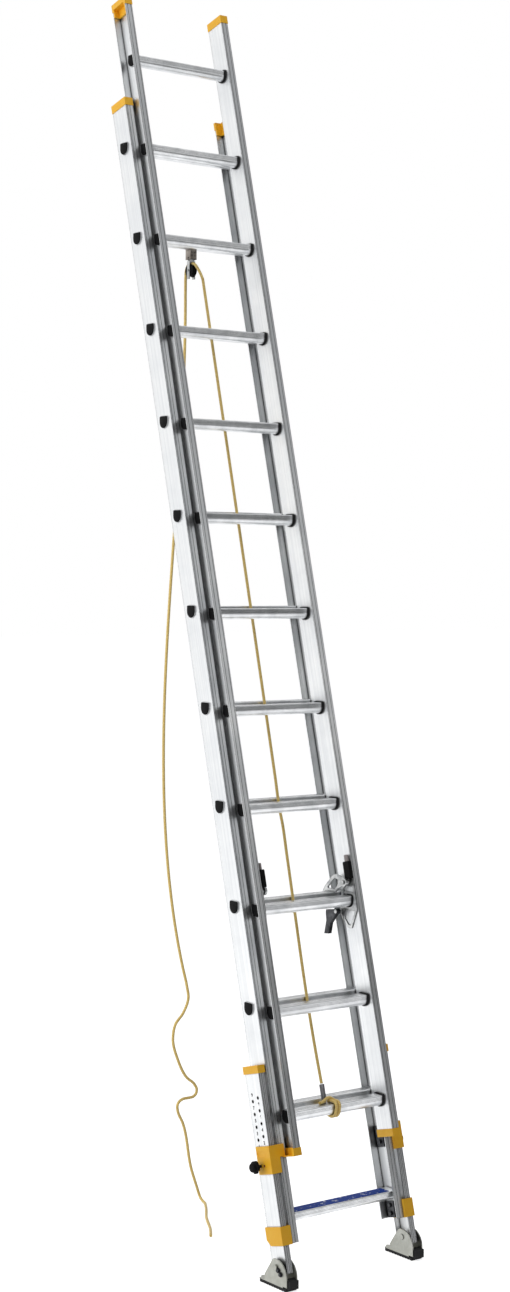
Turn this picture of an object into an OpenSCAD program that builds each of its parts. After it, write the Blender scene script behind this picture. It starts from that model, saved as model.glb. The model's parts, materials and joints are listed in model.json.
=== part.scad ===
// Two-section aluminium extension ladder with levelling legs, leaning at its working angle.
// World: +Z up, -Y toward the climber, origin on the floor midway between the two foot pivots.
// Ladder frame: X across, -Y out to the climber, Z up along the rails, origin at the middle
// of the bottom step. ladder() lays that frame into the world. Lengths are millimetres.

/* [Ladder] */
// Lean of the rails from the vertical, degrees
lean = 14.5; // [12:0.5:16]
// Spacing of the rungs along the rails
rung_pitch = 304.8; // [300:0.1:310]
// Width of the base section over its webs
base_w = 436; // [420:1:450]
// Gap between a fly rail's web and the tips of the base rail's flanges
nest_gap = 10; // [7:0.5:12]
// Height of the bottom step's middle above the floor
step_h = 192; // [188:1:200]
// How far the fly section's rungs sit below the base section's
hook_drop = 22; // [18:1:26]

/* [Rails] */
// Depth of a base rail, front to back
base_depth = 76; // [74:1:80]
// Width of a base rail's flanges
base_flange = 28; // [26:1:30]
// Depth of a fly rail, front to back
fly_depth = 73; // [70:1:76]
// Width of a fly rail's flanges
fly_flange = 26; // [24:1:26]
// How far the fly section stands in front of the base section
fly_out = 59; // [58:0.5:61]
// Thickness of the rails' webs
web_t = 2.2; // [1.8:0.1:2.6]
// Thickness of the rails' flanges
flange_t = 3; // [2.5:0.1:3.5]
// How far the base rails run below the bottom step
base_low = 77; // [70:1:80]
// How far the rails run past their last rungs
rail_top = 142; // [120:1:160]

/* [Rungs] */
// Width of a rung, front to back
rung_w = 36; // [34:1:36]
// Height of a rung's tread above its middle
tread_h = 15; // [13:0.5:16]
// Wall of a rung
rung_wall = 2.2; // [1.8:0.1:3]
// Depth of the bottom step's tread
step_w = 50; // [46:1:52]

/* [Levelling legs] */
// Depth of a leg, front to back
leg_depth = 68; // [66:1:69]
// Width of a leg's flanges
leg_flange = 21; // [18:1:22]
// Gap between the base rail's web and the leg's flanges
leg_gap = 11; // [10:0.5:13]
// How far a leg's middle sits in front of the base rail's
leg_out = 7.5; // [6:0.5:8]
// Height of a leg's top above the bottom step
leg_top = 442; // [430:1:450]
// Spacing of the holes in one column of a leg
hole_step = 37.4; // [37:0.1:37.4]
// Distance between a leg's two columns of holes
hole_gap = 27; // [25:1:30]
// Diameter of the knob's locking pin
pin_d = 9; // [8:0.5:10]

/* [Feet] */
// Length of a shoe's tread
shoe_l = 112; // [108:1:116]
// Height of a shoe's pivot above the floor
pivot_h = 62; // [62:0.5:64]
// Diameter of a shoe's pivot bolt
pivot_d = 10; // [8:0.5:12]

/* [Rope and pulley] */
// Diameter of the rope
rope_d = 9.5; // [8:0.5:10]
// Diameter of the pulley's wheel
sheave_d = 42; // [40:1:43]

/* [Hidden] */
rungs = 12;
pulley_rung = 10; // this rung of the base section, counted from the step, carries the pulley
$fn = 48;
slack = 0.05; // radial running clearance of pins in their bores
seat = 0.1; // clearance of a fixed piece in its hole
glide = 0.5; // clearance of sliding guides

base_in = base_w / 2 - web_t; // inner face of a base rail's web
fly_w = base_w - 2 * (base_flange + nest_gap);
fly_in = fly_w / 2 - web_t; // inner face of a fly rail's web
base_end = rung_pitch * (rungs - 1) + rail_top;
fly_low = 172; // the fly rails' lower ends
fly_up = rung_pitch - hook_drop; // the fly section's first rung, one pitch up
fly_end = fly_up + rung_pitch * (rungs - 1) + rail_top + 42;
flange_back = fly_out - fly_depth / 2; // rear face of the fly rail's rear flange

collar_t = 6; // rubber collars round the rungs
collar_grow = 3.5;
swage_t = 3; // beads that lock the rungs in the webs
swage_grow = 2.5;
plug_inset = 1;
step_r = 16; // belly of the bottom step
tread_groove = [2, 1.2];
flute = [1.6, 0.9];

cap_t = 1.5; // wall of the end caps outside the rails
plug_wall = 8; // the caps' walls, from the rails' outer faces to the hollow inside
cap_h = 18; // height of the top caps above the rails
cap_skirt = 8; // how far they reach down over the rails
cap_plug = 26; // and how far their plugs reach down inside
lip_h = 20; // lip of the fly section's bottom caps
lip_floor = 3;
pad_h = 50; // guide pad above the lip
pad_n = [flange_back + flange_t + glide, base_depth / 2 - flange_t]; // room between the flanges

leg_face = base_w / 2 + leg_gap + leg_flange; // outer face of a leg's web
bracket_low = 127; // knob brackets, along the rails
bracket_top = 208;
wing_low = 172; // the brackets reach over the base rail above this
guide_low = -78;
guide_top = -24;
sleeve_out = leg_face + 4.5; // outer face of brackets and guides
sleeve_wall = 4;
bracket_back = 20; // rear edges of brackets and guides, as y
guide_back = -leg_out + leg_depth / 2 + sleeve_wall;
guide_chamfer = 12;
wing_w = 19;
knob_s = 151.9;
knob_n = leg_out - hole_gap / 2;
knob_travel = 8;
holes = 6;
clamp_bolt_d = 8;
clamp_n = [-30, 2]; // clamp plates, in depth and along the rails
clamp_rows = [[136, 200], [-76, -27]];
leg_end = -158;
foot_s = (pivot_h - step_h - leg_out * sin(lean)) / cos(lean); // foot pivot, in the ladder frame
foot_y = foot_s * sin(lean) - leg_out * cos(lean); // the pivots stand over the origin
shoe_plate = 3;
shoe_out = leg_face + 9 + shoe_plate;
shoe_in = leg_face - leg_flange - 4 - shoe_plate;
shoe_mid = (shoe_out + shoe_in) / 2;
sole_top = 12;
pad_t = 9;
sole_front = -32; // ends of a shoe's sole plate
sole_back = sole_front + shoe_l;

lock_fly = 2; // the locks sit on the fly section's third rung
lock_base = lock_fly + 1; // and hook over the base section's fourth
frame_t = 3;
frame_x = fly_in - 0.4 - frame_t;
hook_t = 6;
hook_gap = 15.4; // room for the cover between the hook and the frame
hook_x = [frame_x - hook_gap - hook_t, frame_x - hook_gap];
finger_x = [hook_x[0] - 3, hook_x[1] + 3];
cover_z = [66, 122];
tab_z = 140;
hook_pivot = [-62, 50]; // from the middle of the base rung, level with the ground
finger_pivot = [-30, -44];
lock_pin_d = 8;
fly_shift = [fly_out * -cos(lean) - hook_drop * sin(lean), fly_out * sin(lean) - hook_drop * cos(lean)];

rope_x = -10; // the rope and pulley hang just left of the middle
block_drop = 44; // pulley block's pivot below its rung's middle
sheave_drop = 84;
sheave_t = 17;
block_pin_d = 6;
cheek_t = 2.5;
block_half = 11.5; // half the width over the block's cheeks
ferrule_low = fly_up + 28;
ferrule_h = 45;
strand_foot = [-22, -40]; // where the strand meets the ferrule, across and in y
strand_low = ferrule_low + ferrule_h + 2;
strand_top = rung_pitch * pulley_rung - 134.7;

function numbered(name, i) = str(name, i < 10 ? "0" : "", i);
function unit(v) = v / norm(v);

// ---- frames ----

// From the ladder frame into the world
module ladder() translate([0, -foot_y, step_h]) rotate([-lean, 0, 0]) children();

// A spot of the ladder frame, s up the rails and n out to the climber, level with the ground
module level(s, n) translate([0, -n, s]) rotate([lean, 0, 0]) children();

// Both sides of the ladder, or the side named -1 (left) or 1 (right)
module side(sign) mirror([sign < 0 ? 1 : 0, 0, 0]) children();
module both_sides() for (sign = [-1, 1]) side(sign) children();

// A flat shape, drawn as y and z, made into a bar along X from x0 to x1
module along_x(x0, x1) translate([x0, 0, 0]) rotate([90, 0, 90]) linear_extrude(x1 - x0) children();

module box(x, y, z) translate([x[0], y[0], z[0]]) cube([x[1] - x[0], y[1] - y[0], z[1] - z[0]]);
module rod(x0, x1, d) along_x(x0, x1) circle(d = d);

// ---- rungs ----

// Lower half of a circle of radius r about height z
module belly(z, r) intersection() {
    translate([0, z]) circle(r);
    translate([-r - 1, z - r - 1]) square([2 * r + 2, r + 2]);
}

// Outline of a rung: flat tread, rounded edges and a round belly
module rung_outline(grow = 0) {
    r = rung_w / 2 + grow;
    top = tread_h + grow;
    edge = 3 + max(grow, -2);
    belly(-1, r);
    translate([-r, -1]) square([2 * r, top - edge + 1]);
    translate([-r + edge, 0]) square([2 * (r - edge), top]);
    for (m = [-1, 1]) translate([m * (r - edge), top - edge]) circle(edge);
}

// Grooves in the tread and flutes down the front and back
module rung_grooves() {
    for (k = [-2 : 2]) translate([k * 5.6 - tread_groove[0] / 2, tread_h - tread_groove[1]])
        square([tread_groove[0], tread_groove[1] + 1]);
    for (m = [-1, 1], k = [0 : 2]) translate([m * rung_w / 2 - flute[1], 1 + k * 3.4])
        square([2 * flute[1], flute[0]]);
}

module rung(half) along_x(-half, half) difference() {
    rung_outline();
    rung_outline(-rung_wall);
    rung_grooves();
}

// The beads outside both webs that hold a rung in its rails
module swages(half) both_sides() along_x(half, half + swage_t) difference() {
    rung_outline(swage_grow);
    rung_outline(-rung_wall);
}

// Black plug in a rung's end and collar at the web's inner face
module rung_end(outer, inner) both_sides() {
    along_x(outer - plug_inset - 8, outer + swage_t - plug_inset) rung_outline(-rung_wall - seat);
    along_x(inner - collar_t, inner) difference() {
        rung_outline(collar_grow);
        rung_outline(seat);
    }
}

module base_rung(i) color("lightgray") ladder() level(rung_pitch * i, 0) {
    rung(base_w / 2);
    swages(base_w / 2);
}

module fly_rung(i) color("lightgray") ladder() level(fly_up + rung_pitch * i, fly_out) {
    rung(fly_w / 2);
    swages(fly_w / 2);
}

module base_rung_ends() color("#1c1c1e") ladder() for (i = [1 : rungs - 1])
    level(rung_pitch * i, 0) rung_end(base_w / 2, base_in);

module fly_rung_ends() color("#1c1c1e") ladder() for (i = [0 : rungs - 1])
    level(fly_up + rung_pitch * i, fly_out) rung_end(fly_w / 2, fly_in);

// Outline of the bottom step: a deep flat tread over a round belly
module step_outline(grow = 0) {
    half = step_w / 2 + grow;
    belly(-5, step_r + grow);
    translate([-half, -6 - grow]) square([2 * half, 14 + grow]);
    translate([-half + 3, -6 - grow]) square([2 * half - 6, 17 + 2 * grow]);
    for (m = [-1, 1]) translate([m * (half - 3), 8 + grow]) circle(3);
}

module base_step() color("lightgray") ladder() level(0, 0) {
    along_x(-base_w / 2, base_w / 2) difference() {
        step_outline();
        belly(-5, step_r - rung_wall);
        translate([-step_w / 2 + 3, -3]) square([step_w - 6, 11]);
        for (k = [0 : 2]) translate([-step_w / 2 - 1, -3 + k * 4]) square([1.8, 1.4]);
    }
    both_sides() along_x(base_w / 2, base_w / 2 + swage_t) difference() {
        step_outline(1.5);
        belly(-5, step_r - rung_wall);
        translate([-step_w / 2 + 3, -3]) square([step_w - 6, 11]);
    }
}

// Plain coloured strip on the bottom step
module step_strip() color("#27357a") ladder() level(0, 0)
    box([-base_in + 28, base_in - 28], [-20, 20], [11, 11.8]);

// ---- rails ----

// C-shaped section, web along x = 0 and flanges toward +x, with grooves along the flanges
module channel(depth, flange, grooves) difference() {
    translate([0, -depth / 2]) square([flange, depth]);
    translate([web_t, -depth / 2 + flange_t]) square([flange, depth - 2 * flange_t]);
    for (m = [-1, 1], g = grooves) translate([g[0], m * depth / 2 - 0.9])
        square([g[1], 1.8]);
}

module base_rail() difference() {
    translate([base_w / 2, 0, -base_low]) linear_extrude(base_end + base_low)
        mirror([1, 0]) channel(base_depth, base_flange, [[3, 3.5], [15, 1.6]]);
    for (i = [1 : rungs - 1]) level(rung_pitch * i, 0)
        along_x(base_in - 1, base_w / 2 + 1) rung_outline(seat);
    level(0, 0) along_x(base_in - 1, base_w / 2 + 1) step_outline(seat);
    clamp_bolts(clamp_bolt_d + 2 * seat);
}
module base_rail_left() color("gainsboro") ladder() side(-1) base_rail();
module base_rail_right() color("gainsboro") ladder() side(1) base_rail();

module fly_rail() difference() {
    translate([fly_in, -fly_out, fly_low]) linear_extrude(fly_end - fly_low)
        channel(fly_depth, fly_flange, [[4, 2], [17, 1.6]]);
    for (i = [0 : rungs - 1]) level(fly_up + rung_pitch * i, fly_out)
        along_x(fly_in - 1, fly_w / 2 + 1) rung_outline(seat);
}
module fly_rail_left() color("gainsboro") ladder() side(-1) fly_rail();
module fly_rail_right() color("gainsboro") ladder() side(1) fly_rail();

// ---- caps and guides ----

// Cap over a base rail's top, with a guide pad in front of the fly rail's rear flange
module base_top_cap() translate([0, 0, base_end]) difference() {
    union() {
        box([base_w / 2 - base_flange - cap_t, base_w / 2 + cap_t],
            [-base_depth / 2 - cap_t, base_depth / 2 + cap_t], [-cap_skirt, cap_h]);
        box([base_w / 2 - base_flange, base_w / 2], [-base_depth / 2, base_depth / 2], [-cap_plug, 0]);
    }
    box([base_w / 2 - base_flange - 20, base_w / 2 - plug_wall],
        [-base_depth / 2 + plug_wall, base_depth / 2 - plug_wall], [-cap_plug - 1, cap_h + 1]);
    translate([base_w / 2 + seat, 0, -cap_plug - 1]) linear_extrude(cap_plug + 1 + seat) mirror([1, 0])
        square_channel(base_depth + 2 * seat, base_flange + 2 * seat);
    box([base_w / 2 - base_flange - 20, base_w / 2 - plug_wall],
        [-pad_n[0], -flange_back + glide], [-cap_plug - 1, cap_h + 1]);
}

// A channel section without grooves, a little thicker all round
module square_channel(depth, flange) difference() {
    translate([0, -depth / 2]) square([flange, depth]);
    translate([web_t + 2 * seat, -depth / 2 + flange_t + 2 * seat])
        square([flange, depth - 2 * (flange_t + 2 * seat)]);
}

module base_top_caps() color("#e0a020") ladder() both_sides() base_top_cap();

// Cap over a fly rail's top; at the rear flange it keeps to the wall that the base rail leaves room for
module fly_top_cap() translate([0, 0, fly_end]) difference() {
    union() {
        box([fly_in - cap_t, fly_in + fly_flange + cap_t],
            [-fly_out - fly_depth / 2 - cap_t, -flange_back + cap_t], [-cap_skirt, cap_h]);
        box([fly_in, fly_in + fly_flange], [-fly_out - fly_depth / 2, -flange_back], [-cap_plug, 0]);
    }
    translate([fly_in - seat, -fly_out, -cap_plug - 1]) linear_extrude(cap_plug + 1 + seat)
        square_channel(fly_depth + 2 * seat, fly_flange + 2 * seat);
    box([fly_in + plug_wall, fly_in + fly_flange + 10],
        [-fly_out - fly_depth / 2 + plug_wall, -flange_back - plug_wall], [-cap_plug - 1, seat]);
}
module fly_top_caps() color("#e0a020") ladder() both_sides() fly_top_cap();

// Bottom cap of a fly rail: a lip round the rail's end and a pad that runs behind the base flange
module fly_bottom_cap() {
    difference() {
        box([fly_in - cap_t, fly_in + fly_flange + cap_t],
            [-fly_out - fly_depth / 2 - cap_t, -flange_back + cap_t], [fly_low - lip_floor, fly_low + lip_h]);
        translate([fly_in - seat, -fly_out, fly_low - seat]) linear_extrude(lip_h + 1)
            square_channel(fly_depth + 2 * seat, fly_flange + 2 * seat);
        box([fly_in + plug_wall, fly_in + fly_flange + 10],
            [-fly_out - fly_depth / 2 + plug_wall, -flange_back - plug_wall], [fly_low, fly_low + lip_h + 1]);
        box([base_w / 2 - base_flange - 3, base_w / 2], [-pad_n[1] - flange_t - 1, -pad_n[1] + glide],
            [fly_low - lip_floor - 1, fly_low + lip_h + 1]);
    }
    box([base_w / 2 - base_flange + 1, fly_in + fly_flange],
        [-pad_n[1] + glide, -flange_back - flange_t - seat], [fly_low - lip_floor, fly_low + pad_h]);
}
module fly_bottom_caps() color("#e0a020") ladder() both_sides() fly_bottom_cap();

// ---- levelling legs ----

// Bolts through each base web that hold a bracket or guide to its clamp plate
module clamp_bolts(d, x0 = base_in - 12, x1 = base_w / 2 + 8) for (row = clamp_rows, k = [0.25, 0.75])
    translate([0, -(clamp_n[0] + clamp_n[1]) / 2, row[0] + k * (row[1] - row[0])]) rod(x0, x1, d);

// Sleeve round a leg, from the base rail's web out past the leg and back to the given y
module sleeve(low, high, back) difference() {
    box([base_w / 2, sleeve_out], [-leg_out - leg_depth / 2 - sleeve_wall, back], [low, high]);
    box([leg_face - leg_flange - glide, leg_face + glide],
        [-leg_out - leg_depth / 2 - glide, -leg_out + leg_depth / 2 + glide], [low - 1, high + 1]);
    clamp_bolts(clamp_bolt_d + 2 * seat);
}

// Knob bracket: open behind, with a wing over the base rail and a bare sunken field for a label
module leveler_bracket() difference() {
    union() {
        sleeve(bracket_low, bracket_top, bracket_back);
        box([base_w / 2 - wing_w, base_w / 2], [-leg_out - leg_depth / 2 - sleeve_wall, -base_depth / 2],
            [wing_low, bracket_top]);
    }
    box([sleeve_out - 1.5, sleeve_out + 1], [bracket_back - 53, bracket_back - 6],
        [bracket_top - 28, bracket_top - 14]);
    translate([0, -knob_n, knob_s]) rod(leg_face, sleeve_out + 1, pin_d + 2 * slack);
}
module leveler_brackets() color("#e0a020") ladder() both_sides() leveler_bracket();

// Lower sleeve, chamfered below its rear edge
module leveler_guide() difference() {
    sleeve(guide_low, guide_top, guide_back);
    translate([0, guide_back, guide_low]) rotate([45, 0, 0])
        box([base_w / 2 - 1, sleeve_out + 1], [-guide_chamfer, guide_chamfer],
            [-guide_chamfer, guide_chamfer]);
}
module leveler_guides() color("#e0a020") ladder() both_sides() leveler_guide();

// Clamp plates inside the base rails, with bolts and nuts
module leveler_clamps() color("#2b2b2d") ladder() both_sides() {
    for (row = clamp_rows)
        box([base_in - 4, base_in], [-clamp_n[1], -clamp_n[0]], row);
    clamp_bolts(clamp_bolt_d, base_in - 10, base_w / 2 + leg_gap - 4);
    clamp_bolts(13, base_in - 10, base_in - 4);
}

module leveler_leg() difference() {
    translate([leg_face, -leg_out, leg_end]) linear_extrude(leg_top - 14 - leg_end)
        mirror([1, 0]) channel(leg_depth, leg_flange, [[2.6, 1.6], [9, 2.2], [15, 1.6]]);
    for (k = [0 : holes - 1]) {
        translate([0, -knob_n, knob_s + k * hole_step]) rod(leg_face - 10, leg_face + 1, pin_d + 2 * slack);
        translate([0, -knob_n - hole_gap, knob_s + (k + 0.25) * hole_step])
            rod(leg_face - 10, leg_face + 1, pin_d + 2 * slack);
    }
    translate([0, -leg_out, foot_s]) rod(leg_face - 10, leg_face + 1, pivot_d + 2 * slack);
}
module leveler_leg_left() color("gainsboro") ladder() side(-1) leveler_leg();
module leveler_leg_right() color("gainsboro") ladder() side(1) leveler_leg();

module leg_cap() difference() {
    box([leg_face - leg_flange - 2, leg_face + 3],
        [-leg_out - leg_depth / 2 - 3, -leg_out + leg_depth / 2 + 3], [leg_top - 23, leg_top]);
    translate([leg_face + seat, -leg_out, leg_top - 24]) linear_extrude(10 + seat)
        mirror([1, 0]) square_channel(leg_depth + 2 * seat, leg_flange + 2 * seat);
}
module leg_cap_left() color("#e0a020") ladder() side(-1) leg_cap();
module leg_cap_right() color("#e0a020") ladder() side(1) leg_cap();

// Pull knob with its locking pin, drawn pulled out
module knob() translate([0, -knob_n, knob_s]) {
    rod(leg_face + 0.6, sleeve_out + 9, pin_d);
    rod(sleeve_out + knob_travel + 0.3, sleeve_out + 15, 16);
    rod(sleeve_out + 15, sleeve_out + 25, 39);
    rod(sleeve_out + 25, sleeve_out + 36, 27);
}
module knob_left() color("#161617") ladder() side(-1) knob();
module knob_right() color("#161617") ladder() side(1) knob();

// ---- feet, in the world frame with the pivot over y = 0 ----

// Side plate of a shoe: straight at the heel, with a rounded peak and a bowed front edge
module shoe_side() polygon(concat(
    [[sole_back - 23, sole_top - 2], [sole_back - 25, sole_top + 17]],
    [for (a = [35 : 15 : 95]) [6 + 16 * cos(a), 70 + 16 * sin(a)]],
    [for (a = [80 : -8 : 0]) [-4 - 46 * cos(a), 34 + 51 * sin(a)]],
    [[sole_front - 19, sole_top - 2]]));

module shoe() difference() {
    union() {
        along_x(shoe_out - shoe_plate, shoe_out) shoe_side();
        along_x(shoe_in, shoe_in + shoe_plate) shoe_side();
        box([shoe_in, shoe_out], [sole_front, sole_back], [pad_t, sole_top]);
        box([shoe_mid - 4, shoe_mid + 4], [sole_back - 1, sole_back + 12], [pad_t - 2, sole_top - 1]);
        translate([0, 0, pivot_h]) {
            rod(shoe_in - 2, shoe_out + 3, pivot_d);
            rod(shoe_in - 3, shoe_in + 1, 17);
            rod(shoe_out - 1, shoe_out + 5, 15);
        }
        for (p = [[-12, 55], [-23, 46]]) translate([0, p[0], p[1]]) rod(shoe_out - 1, shoe_out + 2, 7);
    }
    box([shoe_in - 1, shoe_out + 1], [sole_front - 30, sole_front], [0, sole_top + 1]);
}
module shoe_left() color("silver") side(-1) shoe();
module shoe_right() color("silver") side(1) shoe();

// Rubber pad under the sole, with a raised toe block
module shoe_pad() {
    difference() {
        box([shoe_in, shoe_out], [sole_front - 14, sole_back - 2], [0, pad_t]);
        for (k = [0 : 8]) translate([0, sole_front - 4 + k * 12, 0])
            box([shoe_in - 1, shoe_out + 1], [0, 4], [-1, 3]);
    }
    box([shoe_in + shoe_plate + 0.5, shoe_out - shoe_plate - 0.5], [sole_front - 28, sole_front - 0.5],
        [pad_t - 1, 33]);
}
module shoe_pad_left() color("#1a1b1c") side(-1) shoe_pad();
module shoe_pad_right() color("#1a1b1c") side(1) shoe_pad();

// ---- rung locks, about the middle of the base rung that they hook ----

module at_lock() ladder() level(rung_pitch * lock_base, 0) children();

// Stamped steel frame round the fly rung's end, cut out above and below it, with both pivot pins
module lock_frame() {
    along_x(frame_x, frame_x + frame_t) difference() {
        union() {
            polygon([[-50, 78], [-76, 78], [-92, 22], [-103, -34], [-79, -92], [-60, -92],
                     [-23, -50], [-22, -36], [-34, -24], [-34, 30]]);
            translate(finger_pivot) circle(9);
        }
        translate(fly_shift) rung_outline(collar_grow + seat);
        polygon([[-94, -37], [-75, -84], [-62, -84], [-46, -66], [-46, -38]]);
        polygon([[-85, 19], [-80, 37], [-41, 37], [-41, 19]]);
    }
    translate([0, hook_pivot[0], hook_pivot[1]]) rod(hook_x[0] - 3, frame_x + 1, lock_pin_d);
    translate([0, finger_pivot[0], finger_pivot[1]]) rod(finger_x[0] - 2, frame_x + 1, lock_pin_d);
}
module lock_frames() color("#a9abad") at_lock() both_sides() lock_frame();

// Black cover above the hook's pivot, and its tab
module lock_cover() {
    box([hook_x[1] + 1, frame_x], [-84, -46], cover_z);
    box([hook_x[1] + 3, frame_x - 2], [-76, -52], [cover_z[1], tab_z]);
}
module lock_covers() color("#1b1b1d") at_lock() both_sides() lock_cover();

// Hook plate with a window, resting over the base rung and dropping behind it
module lock_hook() difference() {
    union() {
        translate([0, hook_pivot[0], hook_pivot[1]]) rod(hook_x[0] - 0.5, hook_x[1] + 0.5, 28);
        along_x(hook_x[0], hook_x[1]) difference() {
            polygon([[hook_pivot[0] - 6, hook_pivot[1] + 12], [-28, 72], [-12, 68], [30, 28], [40, 12],
                     [42, 5], [30, 4], [24.5, 15.4], [-24, 15.4], [-36, 28],
                     [hook_pivot[0] + 4, hook_pivot[1] - 13]]);
            polygon([[-36, 56], [-18, 58], [15, 27], [12, 24], [-20, 24], [-34, 38]]);
        }
    }
    translate([0, hook_pivot[0], hook_pivot[1]])
        rod(hook_x[0] - 1, hook_x[1] + 1, lock_pin_d + 2 * slack);
}
module lock_hook_left() color("#8e9092") at_lock() side(-1) lock_hook();
module lock_hook_right() color("#8e9092") at_lock() side(1) lock_hook();

// Finger that hangs below the base rung and tips aside as rungs pass
module lock_finger() difference() {
    union() {
        translate([0, finger_pivot[0], finger_pivot[1]]) rod(finger_x[0] - 0.5, finger_x[1] + 0.5, 18);
        along_x(finger_x[0], finger_x[1])
            polygon([[finger_pivot[0] - 4, finger_pivot[1] + 7], [18, -44], [19, -54], [16, -78],
                     [26, -120], [4, -118], [-4, -84], [finger_pivot[0] - 2, finger_pivot[1] - 8]]);
    }
    translate([0, finger_pivot[0], finger_pivot[1]])
        rod(finger_x[0] - 1, finger_x[1] + 1, lock_pin_d + 2 * slack);
}
module lock_finger_left() color("#161617") at_lock() side(-1) lock_finger();
module lock_finger_right() color("#161617") at_lock() side(1) lock_finger();

// ---- pulley, plumb below its rung ----

module at_pulley() ladder() level(rung_pitch * pulley_rung, 0) translate([rope_x, 0, 0]) children();

// Strap round the rung, and the box below it that carries the block's pin
module pulley_clamp() color("#8f8a84") at_pulley() {
    along_x(-12, 12) difference() {
        union() {
            rung_outline(2);
            translate([-14, -48]) square([28, 36]);
        }
        rung_outline(seat);
        translate([-11, -49]) square([22, 27]);
    }
    for (x = [-12, 9]) difference() {
        box([x, x + 3], [-14, 14], [-50, -19.5]);
        translate([0, 0, -block_drop]) rod(-20, 20, block_pin_d + 2 * seat);
    }
    translate([0, 0, -block_drop]) rod(-14, 14, block_pin_d);
    for (m = [-1, 1], x = [-6, 6], z = [-26, -37]) translate([x, m * 14.5, z]) rotate([90, 0, 0])
        cylinder(d = 5, h = 5, center = true);
}

module pulley_block() color("#b4b6b8") at_pulley() {
    difference() {
        box([-8, 8], [-7, 7], [-block_drop - 11, -block_drop + 7]);
        translate([0, 0, -block_drop]) rod(-20, 20, block_pin_d + 2 * slack);
    }
    box([-block_half, block_half], [-7, 7], [-block_drop - 13, -block_drop - 10]);
    for (x = [-block_half, block_half - cheek_t])
        box([x, x + cheek_t], [-7, 7], [-sheave_drop - 28, -block_drop - 10]);
    translate([0, 0, -sheave_drop]) rod(-block_half - 2, block_half + 2, block_pin_d);
}

// Grooved wheel on the block's axle
module pulley_sheave() color("#141415") at_pulley() translate([0, 0, -sheave_drop]) rotate([0, 90, 0])
    rotate_extrude() difference() {
        translate([block_pin_d / 2 + slack, -sheave_t / 2])
            square([(sheave_d - block_pin_d) / 2 - slack, sheave_t]);
        translate([sheave_d / 2, 0]) circle(rope_d / 2 + 0.4);
    }

// ---- rope ----

function tangent(p, i) = unit(p[min(i + 1, len(p) - 1)] - p[max(i - 1, 0)]);
function across(v, t) = unit(v - (v * t) * t);
function sides_of(p, i = 0, v = [1, 0.02, 0]) =
    i >= len(p) ? [] : let (w = across(v, tangent(p, i))) concat([w], sides_of(p, i + 1, w));

// A smooth curve through hand-placed points, with extra rings between them: at a point it heads
// along the mean of both runs beside it, the shorter one counting for more
function heading(p, i) = let (a = p[i] - p[max(i - 1, 0)], b = p[min(i + 1, len(p) - 1)] - p[i])
    i == 0 ? unit(b) : i == len(p) - 1 ? unit(a) : unit(unit(a) * norm(b) + unit(b) * norm(a));
function between(b, c, u, v, t) = (2 * pow(t, 3) - 3 * t * t + 1) * b + (3 * t * t - 2 * pow(t, 3)) * c
    + norm(c - b) * ((pow(t, 3) - 2 * t * t + t) * u + (pow(t, 3) - t * t) * v);
function curve(p, steps) = concat([for (i = [0 : len(p) - 2], k = [0 : steps - 1])
    between(p[i], p[i + 1], heading(p, i), heading(p, i + 1), k / steps)], [p[len(p) - 1]]);

// Round tube along a path
module tube(p, r, n = 10) {
    s = sides_of(p);
    points = [for (i = [0 : len(p) - 1], k = [0 : n - 1])
        p[i] + r * (cos(360 * k / n) * s[i] + sin(360 * k / n) * cross(tangent(p, i), s[i]))];
    last = (len(p) - 1) * n;
    polyhedron(points, concat(
        [[for (k = [0 : n - 1]) k], [for (k = [n - 1 : -1 : 0]) last + k]],
        [for (i = [0 : n : last - n], k = [0 : n - 1]) [i + k, i + n + k, i + n + (k + 1) % n]],
        [for (i = [0 : n : last - n], k = [0 : n - 1]) [i + k, i + n + (k + 1) % n, i + (k + 1) % n]]));
}

// Strand from the pulley down between the sections to the fly section's bottom rung
fly_strand = [[rope_x, -33.4, strand_top], [-17, -30, 1185], [-15, -30, 1150], [-20, -33, 440],
              [strand_foot[0], strand_foot[1], strand_low]];
module fly_rope() color("#d9a937") ladder() tube(fly_strand, rope_d / 2);

// Strand over the pulley and down to the floor, in the world frame
rung_y = rung_pitch * pulley_rung * sin(lean) - foot_y;
rung_z = rung_pitch * pulley_rung * cos(lean) + step_h;
over_pulley = [for (p = [[-66, -120], [-50, -96], [-36, -80], [-19, -65.6], [0, -62.05], [18, -66.8],
                         [27, -80], [30, -100], [31, -140], [31, -200]])
    [rope_x, rung_y + p[0], rung_z + p[1]]];
plumb_y = rung_y + 31;
wave = [[-10, 790], [8, 722], [14, 683], [-6, 636], [-38, 600], [-47, 558], [-27, 483], [8, 421],
        [40.5, 392.5], [49.5, 375], [46, 360.5], [35.5, 353], [20, 351.5], [-9, 350], [-21, 344],
        [-28.5, 331], [-27, 316], [-6, 270], [30, 110], [50, 54]];
floor_z = rope_d / 2 + 0.35;
on_floor = [[59, -1, 22.5], [61.5, -7, 8.5], [61, -20, 1.5], [56, -38, 0.1], [34, -76, 0],
            [-36, -177, 0], [-100, -287, 0], [-135, -337, 0]];
haul_strand = concat(over_pulley, [for (p = wave) [p[0], plumb_y, p[1]]],
                     [for (p = on_floor) [p[0], plumb_y + p[1], floor_z + p[2]]]);
module haul_rope() color("#d9a937") tube(curve(haul_strand, 2), rope_d / 2);

// Loops that hold the rope to the fly section's bottom rung, the knot's strand along the tread, and
// the end that goes up into the ferrule
module rope_clamp() color("#d9a937") ladder() {
    level(fly_up, fly_out) {
        for (x = [-44, -32, -20]) along_x(x, x + rope_d) difference() {
            rung_outline(6);
            rung_outline(seat);
        }
        translate([0, 4, tread_h + 8]) rod(-84, -4, 9);
    }
    translate([strand_foot[0], strand_foot[1], fly_up + 19])
        cylinder(d = rope_d, h = ferrule_low + 25 - fly_up - 19);
}

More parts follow.
